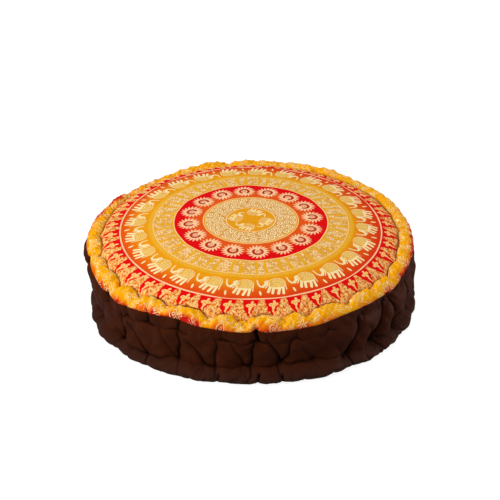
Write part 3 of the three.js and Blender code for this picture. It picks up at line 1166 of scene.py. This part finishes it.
def drawElephant(colour, x, y, coat, trim):
    # walks to the left with its trunk up, in a netted saddle cloth
    parts = elephantMotif
    body = oval(x, y, *parts["body"])
    figure = either(body, oval(x, y, *parts["head"]))
    for start, end, half in parts["trunk"] + parts["legs"] + [parts["tail"], parts["tusk"]]:
        figure = either(figure, stroke(x, y, start, end, half))
    colour = paint(colour, inked(figure), coat)
    saddle = both(body + parts["hem"], slab(x, y, *parts["saddle"]))
    net = patches(x, y, parts["netSize"]) - parts["netLine"]
    colour = paint(colour, inked(both(saddle, net * -1.0)), trim)
    lines = either(outline(saddle, parts["hemLine"]), outline(oval(x, y, *parts["ear"]), parts["earLine"]))
    lines = both(either(lines, disc(x, y, *parts["eye"])), figure)
    return paint(colour, inked(lines), printColours["centreGold"])


centrePrint = dict(
    elephants=4, elephantFirst=-22.0, elephantAt=27.0, elephantSize=0.74, elephantSquat=0.82,
    lines=[(44.0, 0.8), (84.9, 0.6), (81.2, 0.45)],
    scrollFrom=46.0, scrollTo=80.0,
    # radius, how many, first turn, size
    scrolls=[(52.0, 19, 0.0, 5.8), (63.0, 23, 5.0, 6.0), (74.0, 27, 2.0, 6.2)],
    scrollPitch=3.9, scrollHalf=1.1, leafSize=3.8,
)


def paintCentre():
    material, shader = newCloth("centrePrint")
    x, y, paintedShade = clothPlace()
    radius = lengthOf(x, y)
    colours = printColours
    part = centrePrint
    angle = repeats(x, y, part["elephants"], part["elephantFirst"])
    scale = 1.0 / part["elephantSize"]
    aside = radius * sums("SINE", angle) * scale
    rise = (part["elephantAt"] - radius * sums("COSINE", angle)) * (scale / part["elephantSquat"])
    colour = drawElephant(colours["centreGold"], aside, rise, colours["paleCream"], colours["centreGold"])
    leaves = foliage(x, y, part["leafSize"], colours["scrollCream"], colours["paleGold"], colours["deepGold"])
    for ring, count, first, size in part["scrolls"]:
        angle = repeats(x, y, count, first)
        aside = radius * sums("SINE", angle)
        rise = radius * sums("COSINE", angle) - ring
        reach = lengthOf(aside, rise)
        wound = reach * (1.0 / part["scrollPitch"]) + sums("ARCTAN2", rise, aside) * (1 / (2 * math.pi))
        coil = abs(sums("FRACT", wound) - 0.5) * part["scrollPitch"] - part["scrollHalf"]
        curl = paint(colours["deepGold"], inked(coil), colours["scrollCream"])
        leaves = paint(leaves, inked(reach - size), curl)
    band = both(part["scrollFrom"] - radius, radius - part["scrollTo"])
    colour = paint(colour, inked(band), leaves)
    for ring, half in part["lines"]:
        colour = paint(colour, inked(outline(radius - ring, half)), colours["cream"])
    finishPrint(shader, x, y, paintedShade, colour)
    return material


sunPrint = dict(
    suns=16, first=6.2, at=110.7, redFrom=(105.0, 119.0),  # orange turns red between these radii
    rays=17, rayReach=20.8, rayTurn=0.13, raySharp=0.7, raySoft=0.9, slant=0.05, rim=11.2,
    ringOuter=10.2, ringInner=6.0, opening=0.5,
    curlTurns=0.3, curlPitch=3.3, curlHalf=0.55,
)


def paintSuns():
    material, shader = newCloth("sunPrint")
    x, y, paintedShade = clothPlace()
    radius = lengthOf(x, y)
    colours = printColours
    part = sunPrint
    colour = paint(colours["innerOrange"], ramp(radius, *part["redFrom"]), colours["red"])
    angle = repeats(x, y, part["suns"], part["first"])
    aside = radius * sums("SINE", angle)
    out = radius * sums("COSINE", angle) - part["at"]
    reach = lengthOf(aside, out)
    bearing = sums("ARCTAN2", aside, out)
    ray = sums("FRACT", bearing * (part["rays"] / (2 * math.pi)) + reach * part["slant"] + part["rayTurn"])
    point = 1.0 - abs(ray - 0.5) * 2.0
    tip = sums("POWER", point, part["raySharp"]) * (part["rayReach"] - part["rim"])
    colour = paint(colour, inked(reach - part["rim"] - tip, part["raySoft"]), colours["sunCream"])
    ring = both(reach - part["ringOuter"], part["ringInner"] - reach)
    gap = (abs(bearing) - (math.pi - part["opening"])) * reach
    colour = paint(colour, inked(both(ring, gap)), colours["darkRed"])
    wound = reach * part["curlTurns"] + bearing * (1 / (2 * math.pi))
    curl = abs(sums("FRACT", wound) - 0.5) * part["curlPitch"] - part["curlHalf"]
    colour = paint(colour, inked(both(curl, reach - part["ringInner"])), colours["darkRed"])
    finishPrint(shader, x, y, paintedShade, colour)
    return material


figurePrint = dict(
    repeats=24, first=1.5, foot=173.5, top=140.0, wide=(-7.5, 10.3), narrow=(13.0, 4.8),
    taper=0.06,  # the beds widen outwards
    ragged=(3.6, 5.0),  # size and depth of their uneven edges
    fanSquat=0.7, fanStep=4.4, fanHalf=0.5, fanInside=2.5, fanFrom=158.0,
    leafSize=5.0, lines=[(137.4, 0.8), (176.0, 0.6)],
    scallops=132, scallopAt=178.4, scallopSize=(3.5, 4.4), scallopIn=0.3, scallopHalf=0.45, scallopFrom=177.8,
)


def paintFigures():
    material, shader = newCloth("figurePrint")
    x, y, paintedShade = clothPlace()
    radius = lengthOf(x, y)
    colours = printColours
    part = figurePrint
    angle = repeats(x, y, part["repeats"], part["first"])
    aside = angle * radius
    ragged = cloudy(x, y, part["ragged"][0], 1.0) * part["ragged"][1] - part["ragged"][1] / 2
    middle, half = (part["foot"] + part["top"]) / 2, (part["foot"] - part["top"]) / 2
    grow = (radius - middle) * part["taper"]
    wideBed = slab(aside, radius, (part["wide"][0], middle), (part["wide"][1], half)) - grow
    narrowBed = slab(aside, radius, (part["narrow"][0], middle), (part["narrow"][1], half)) - grow
    leaves = foliage(x, y, part["leafSize"], colours["cream"], colours["paleGold"], colours["deepGold"])
    colour = paint(colours["ringGold"], inked(either(wideBed, narrowBed) + ragged), leaves)
    # a fan of stalks opens towards the middle from each wide bed
    fan = lengthOf(aside - part["wide"][0], (radius - part["foot"]) * part["fanSquat"])
    arches = abs(sums("PINGPONG", fan, part["fanStep"]) - part["fanStep"] / 2) - part["fanHalf"]
    arches = both(arches, wideBed + part["fanInside"], part["fanFrom"] - radius)
    colour = paint(colour, inked(arches), colours["ringGold"])
    for ring, halfLine in part["lines"]:
        colour = paint(colour, inked(outline(radius - ring, halfLine)), colours["cream"])
    angle = repeats(x, y, part["scallops"], 0.0)
    fringe = oval(angle * radius, radius, (0.0, part["scallopAt"]), part["scallopSize"])
    fringe = both(outline(fringe + part["scallopIn"], part["scallopHalf"]), part["scallopFrom"] - radius)
    colour = paint(colour, inked(fringe), colours["paleGold"])
    finishPrint(shader, x, y, paintedShade, colour)
    return material


elephantPrint = dict(elephants=24, first=-4.8, at=209.5, tilt=5.0, drop=((-24.4, -15.5), (1.9, 5.4)),
                     goldTo=(192.0, 221.0), orangeTo=(222.0, 242.0), redder=0.045)  # redder to the right


def paintElephants():
    material, shader = newCloth("elephantPrint")
    x, y, paintedShade = clothPlace()
    radius = lengthOf(x, y)
    colours = printColours
    ground = sums("MULTIPLY_ADD", x, elephantPrint["redder"], radius)
    colour = paint(colours["elephantGold"], ramp(ground, *elephantPrint["goldTo"]), colours["footOrange"])
    colour = paint(colour, ramp(ground, *elephantPrint["orangeTo"]), colours["edgeOrange"])
    angle = repeats(x, y, elephantPrint["elephants"], elephantPrint["first"])
    aside = angle * radius
    rise = elephantPrint["at"] - radius
    colour = paint(colour, inked(oval(aside, rise, *elephantPrint["drop"])), colours["paleCream"])
    tilt = math.radians(elephantPrint["tilt"])
    walkX = sums("MULTIPLY_ADD", aside, math.cos(tilt), rise * -math.sin(tilt))
    walkY = sums("MULTIPLY_ADD", aside, math.sin(tilt), rise * math.cos(tilt))
    colour = drawElephant(colour, walkX, walkY, colours["paleCream"], colours["saddleGold"])
    finishPrint(shader, x, y, paintedShade, colour)
    return material


gardenPrint = dict(
    cells=42, first=-1.9, line=(238.3, 1.3),
    ragged=(3.2, 5.6),  # size and depth of the uneven edges
    bush=-8.0, bushTop=240.5, hedge=274.0,
    # each side of a bush: half its width, how fast it grows, from where it bows out and how much
    bushLeft=(5.5, 0.34, 8.0, 0.012), bushRight=(3.0, 0.27, 16.0, 0.02),
    thinner=0.01,  # thinner bushes to the right
    leafSize=6.2, goldSize=6.0, goldAside=37.0, goldShare=(0.5, 0.58), veinAt=0.54, vein=(0.045, 0.025),
    bird=(11.0, 253.0), birdRagged=0.3,
    # wings, head and body, then the legs, then spots
    birdOvals=[((-4.3, 0.4), (4.0, 3.4)), ((4.4, 0.8), (3.8, 3.2)), ((0.6, 6.4), (2.3, 3.4)),
               ((0.0, -2.0), (3.1, 7.0))],
    birdStrokes=[((-0.3, -7.0), (-1.0, -12.5), 1.5), ((-1.0, -12.5), (1.6, -20.0), 0.9)],
    birdSpots=[((4.2, 0.8), 1.3), ((-4.2, 0.4), 1.3), ((0.1, -1.5), 1.4)],
)


def bushHalf(down, half, grows, bowFrom, bow):
    bowed = sums("MAXIMUM", down - bowFrom, 0.0)
    return half + down * grows + bowed * bowed * bow


def paintGarden():
    material, shader = newCloth("gardenPrint")
    x, y, paintedShade = clothPlace()
    radius = lengthOf(x, y)
    colours = printColours
    part = gardenPrint
    aside = repeats(x, y, part["cells"], part["first"]) * radius
    ragged = cloudy(x, y, part["ragged"][0], 1.0) * part["ragged"][1] - part["ragged"][1] / 2
    # leafy bushes that spread towards the groove, with a slash of red between each bush and the next bird
    down = sums("MAXIMUM", radius - part["bushTop"], 0.0)
    leftHalf, rightHalf = bushHalf(down, *part["bushLeft"]), bushHalf(down, *part["bushRight"])
    bushX = aside - part["bush"]
    pitch = 2 * math.pi / part["cells"]
    bush = both(bushX * -1.0 - leftHalf, bushX - rightHalf, part["bushTop"] - radius)
    bush = either(bush, radius * pitch - leftHalf - bushX)
    hedge = part["hedge"] - radius
    veins = abs(cloudy(x, y, part["leafSize"], 1.0) - part["veinAt"])
    gold = ramp(cloudy(x + part["goldAside"], y, part["goldSize"], 1.0), *part["goldShare"])
    leaves = paint(colours["leafCream"], gold, colours["leafGold"])
    leaves = paint(leaves, ramp(veins, *part["vein"]), colours["leafShade"])
    thinner = sums("MAXIMUM", x, 0.0) * part["thinner"]
    colour = paint(colours["red"], inked(either(bush, hedge) + ragged + thinner), leaves)
    # small birds with open wings
    birdX, birdY = aside - part["bird"][0], part["bird"][1] - radius
    bird = either(*[oval(birdX, birdY, *row) for row in part["birdOvals"]],
                  *[stroke(birdX, birdY, *row) for row in part["birdStrokes"]])
    colour = paint(colour, inked(bird + ragged * part["birdRagged"]), colours["leafCream"])
    spots = either(*[disc(birdX, birdY, *row) for row in part["birdSpots"]])
    colour = paint(colour, inked(spots), colours["leafGold"])
    ring, half = part["line"]
    colour = paint(colour, inked(outline(radius - ring, half)), colours["sunCream"])
    finishPrint(shader, x, y, paintedShade, colour)
    return material


rollPrint = dict(
    gather=3.0, gatherSize=14.0,  # how far the gathers shift the print, and how wide they are
    gatherAside=91.0,  # so that they shift it differently up and along
    flower=27.0,  # size of the border's flowers, which the gathers squeeze together
    squeeze=0.8,
    ringStep=5.2, rayCount=9, stripeStep=4.6, lineHalf=0.55,
    # which flowers have rings, rays or stripes, and how far those reach
    ringed=(0.7, 8.0), rayed=(0.2, 1.6), striped=(0.5, 0.9), choice=9.0,
    ringReach=11.0, rayReach=(3.0, 11.0), stripeReach=9.5,
    sprig=19.0, sprigHalf=0.007, sprigSharp=60.0,
    # where the yellow turns orange and then red, by the length from the middle, and how unevenly
    orangeBetween=(307.0, 318.0), redBetween=(319.0, 325.0), orangeDrift=0.7, drift=34.0, driftSize=30.0,
    # where the orange and red of the cloth's edge come further up: turn, width in degrees, how far
    redder=[(80, 34, 14.0), (-22, 17, 14.0), (-122, 34, 27.0), (8, 14, 5.0), (150, 30, 8.0)],
)


def paintRoll():
    material, shader = newCloth("rollPrint")
    x, y, paintedShade = clothPlace()
    part = rollPrint
    colours = printColours
    flat = lengthOf(x, y)
    turn = sums("ARCTAN2", x, y * -1.0)
    drift = (cloudy(x, y, part["driftSize"]) - 0.5) * part["drift"]
    for middle, width, far in part["redder"]:
        share = (turn - math.radians(middle)) * (1.0 / math.radians(width))
        drift = drift + sums("MAXIMUM", 1.0 - share * share, 0.0) * far
    orange = ramp(flat + drift * part["orangeDrift"], *part["orangeBetween"])
    colour = paint(colours["rollYellow"], orange, colours["rollOrange"])
    colour = paint(colour, ramp(flat + drift, *part["redBetween"]), colours["rollRed"])
    # flowers, fans and striped leaves of the border, shifted by the gathers
    along = turn * (pouf["girth"] / part["squeeze"])
    gathers = []
    for shift in (0.0, part["gatherAside"]):
        gathers.append((cloudy(x + shift, y, part["gatherSize"]) - 0.5) * (2 * part["gather"]))
    drawnX, drawnY = along + gathers[0], flat + gathers[1]
    distance, tint, centre = patches(drawnX, drawnY, part["flower"], "F1")
    lucky = splitVector(tint)
    middle = splitVector(centre)
    fromX, fromY = drawnX - middle[0] * part["flower"], drawnY - middle[1] * part["flower"]
    reach = distance * part["flower"]
    rings = abs(sums("PINGPONG", reach, part["ringStep"]) - part["ringStep"] * 0.5) - part["lineHalf"]
    bearing = sums("ARCTAN2", fromX, fromY) * (part["rayCount"] / (2 * math.pi)) + lucky[2]
    rays = (abs(sums("FRACT", bearing) - 0.5) * reach) * (2 * math.pi / part["rayCount"]) - part["lineHalf"]
    slant = sums("MULTIPLY_ADD", fromX, lucky[2] * 2.0 - 1.0, fromY)
    stripes = abs(sums("PINGPONG", slant, part["stripeStep"]) - part["stripeStep"] * 0.5) - part["lineHalf"]
    isRinged = (part["ringed"][0] - lucky[0]) * part["ringed"][1]
    isRayed = abs(lucky[0] - part["rayed"][0]) * part["choice"] - part["rayed"][1]
    isStriped = abs(lucky[0] - part["striped"][0]) * part["choice"] - part["striped"][1]
    raysFrom, raysTo = part["rayReach"]
    marks = both(rings, isRinged, reach - part["ringReach"])
    marks = either(marks, both(rays, isRayed, reach - raysTo, raysFrom - reach))
    marks = either(marks, both(stripes, isStriped, reach - part["stripeReach"]))
    sprigs = abs(cloudy(drawnX, drawnY, part["sprig"], 1.0) - 0.5) - part["sprigHalf"]
    marks = either(marks, sprigs * part["sprigSharp"])
    colour = paint(colour, inked(marks), colours["paleCream"])
    finishPrint(shader, x, y, paintedShade, colour)
    return material


brownFeel = dict(
    colour=shade(62, 25, 10), paler=shade(69, 31, 15), palerBetween=(0.45, 0.75), cloud=(22.0, 3.0),
    paintedFootLight=shade(58, 33, 25), paintedFootLightBetween=(74.0, 96.0),  # painted light from the floor on the foot, by the length from the seam
    # folds darker by painted shade
    paintedFoldShade=shade(20, 5, 2), paintedFoldShadeBetween=(0.12, 0.6),
    roughness=0.55, shine=0.07, shineTint=shade(255, 196, 184),
    sheen=0.02, sheenTint=shade(255, 200, 190), sheenRoughness=0.35,
    weave=0.8, weaveLift=0.1,
)


def dyeBrown(name):
    material, shader = newCloth(name)
    x, y, paintedShade = clothPlace()
    tone = cloudy(x, y, *brownFeel["cloud"])
    colour = paint(brownFeel["colour"], ramp(tone, *brownFeel["palerBetween"]), brownFeel["paler"])
    # painted light on the foot, from the floor below
    colour = paint(colour, ramp(y, *brownFeel["paintedFootLightBetween"]), brownFeel["paintedFootLight"])
    # painted shade in the folds
    colour = paint(colour, ramp(paintedShade, *brownFeel["paintedFoldShadeBetween"]), brownFeel["paintedFoldShade"])
    feed(shader.inputs["Base Color"], colour)
    shader.inputs["Roughness"].default_value = brownFeel["roughness"]
    shader.inputs["Specular IOR Level"].default_value = brownFeel["shine"]
    shader.inputs["Specular Tint"].default_value = brownFeel["shineTint"]
    shader.inputs["Sheen Weight"].default_value = brownFeel["sheen"]
    shader.inputs["Sheen Tint"].default_value = brownFeel["sheenTint"]
    shader.inputs["Sheen Roughness"].default_value = brownFeel["sheenRoughness"]
    feed(shader.inputs["Normal"], weaveLift(x, y, brownFeel["weave"] * 2, brownFeel["weaveLift"]))
    return material


def plainLining(name):
    material, shader = newCloth(name)
    shader.inputs["Base Color"].default_value = printColours["ringGold"]
    shader.inputs["Roughness"].default_value = printFeel["backRoughness"]
    return material


def dressTop():
    for material in (paintCentre(), paintSuns(), paintFigures(), paintElephants(), paintGarden(), paintRoll(),
                     plainLining("clothBack")):
        printedTop.data.materials.append(material)
    edges = [printSizes[name] for name in ("scrollEdge", "sunEdge", "figureEdge", "elephantEdge")]
    bands = [sum(ring[0] > edge for edge in edges) for ring in topPanel["crownRings"]]
    garden, roll, back = 4, 5, 6  # places in the list of materials
    bands += [garden] * topPanel["slopeRows"] + [roll] * topPanel["rollRows"]
    bands += [back] * (len(topFaces) - len(bands))
    perFace = np.concatenate([np.full(count, band) for count, band in zip(topFaces, bands)])
    printedTop.data.polygons.foreach_set("material_index", perFace.astype(np.int32))


# The face nearly fills the picture and the back goes in a corner
bakeLayout = dict(size=2.02, faceAt=0.5, backAt=0.075, backSize=0.13)


def unfoldTop():
    # the panel's face lies flat as one disc for the picture that is baked, its back small in a corner
    layer = printedTop.data.uv_layers.new(name="OFBake")
    corners = np.zeros(len(printedTop.data.loops), np.int32)
    printedTop.data.loops.foreach_get("vertex_index", corners)
    sizes = np.zeros(len(printedTop.data.polygons), np.int32)
    printedTop.data.polygons.foreach_get("loop_total", sizes)
    frontFaces = sum(topFaces[:topRingCount])
    front = np.repeat(np.arange(len(sizes)) < frontFaces, sizes)
    flat = topFlat[corners] / (bakeLayout["size"] * np.max(np.linalg.norm(topFlat, axis=1)))
    back = bakeLayout["backAt"] + bakeLayout["backSize"] * flat
    places = np.where(front[:, None], bakeLayout["faceAt"] + flat, back)
    layer.data.foreach_set("uv", places.astype(np.float32).ravel())


dressTop()
unfoldTop()
sidePiece.data.materials.append(dyeBrown("brownCotton"))
# on the base the painted foot light follows its flat place, so it covers the back part
basePiece.data.materials.append(dyeBrown("baseCotton"))
print("cloth printed and dyed")


# What each piece is

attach(printedTop, "root")
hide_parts("printed_top")
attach(sidePiece, "root")
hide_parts("filled_side")
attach(basePiece, "root")
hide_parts("base_panel")
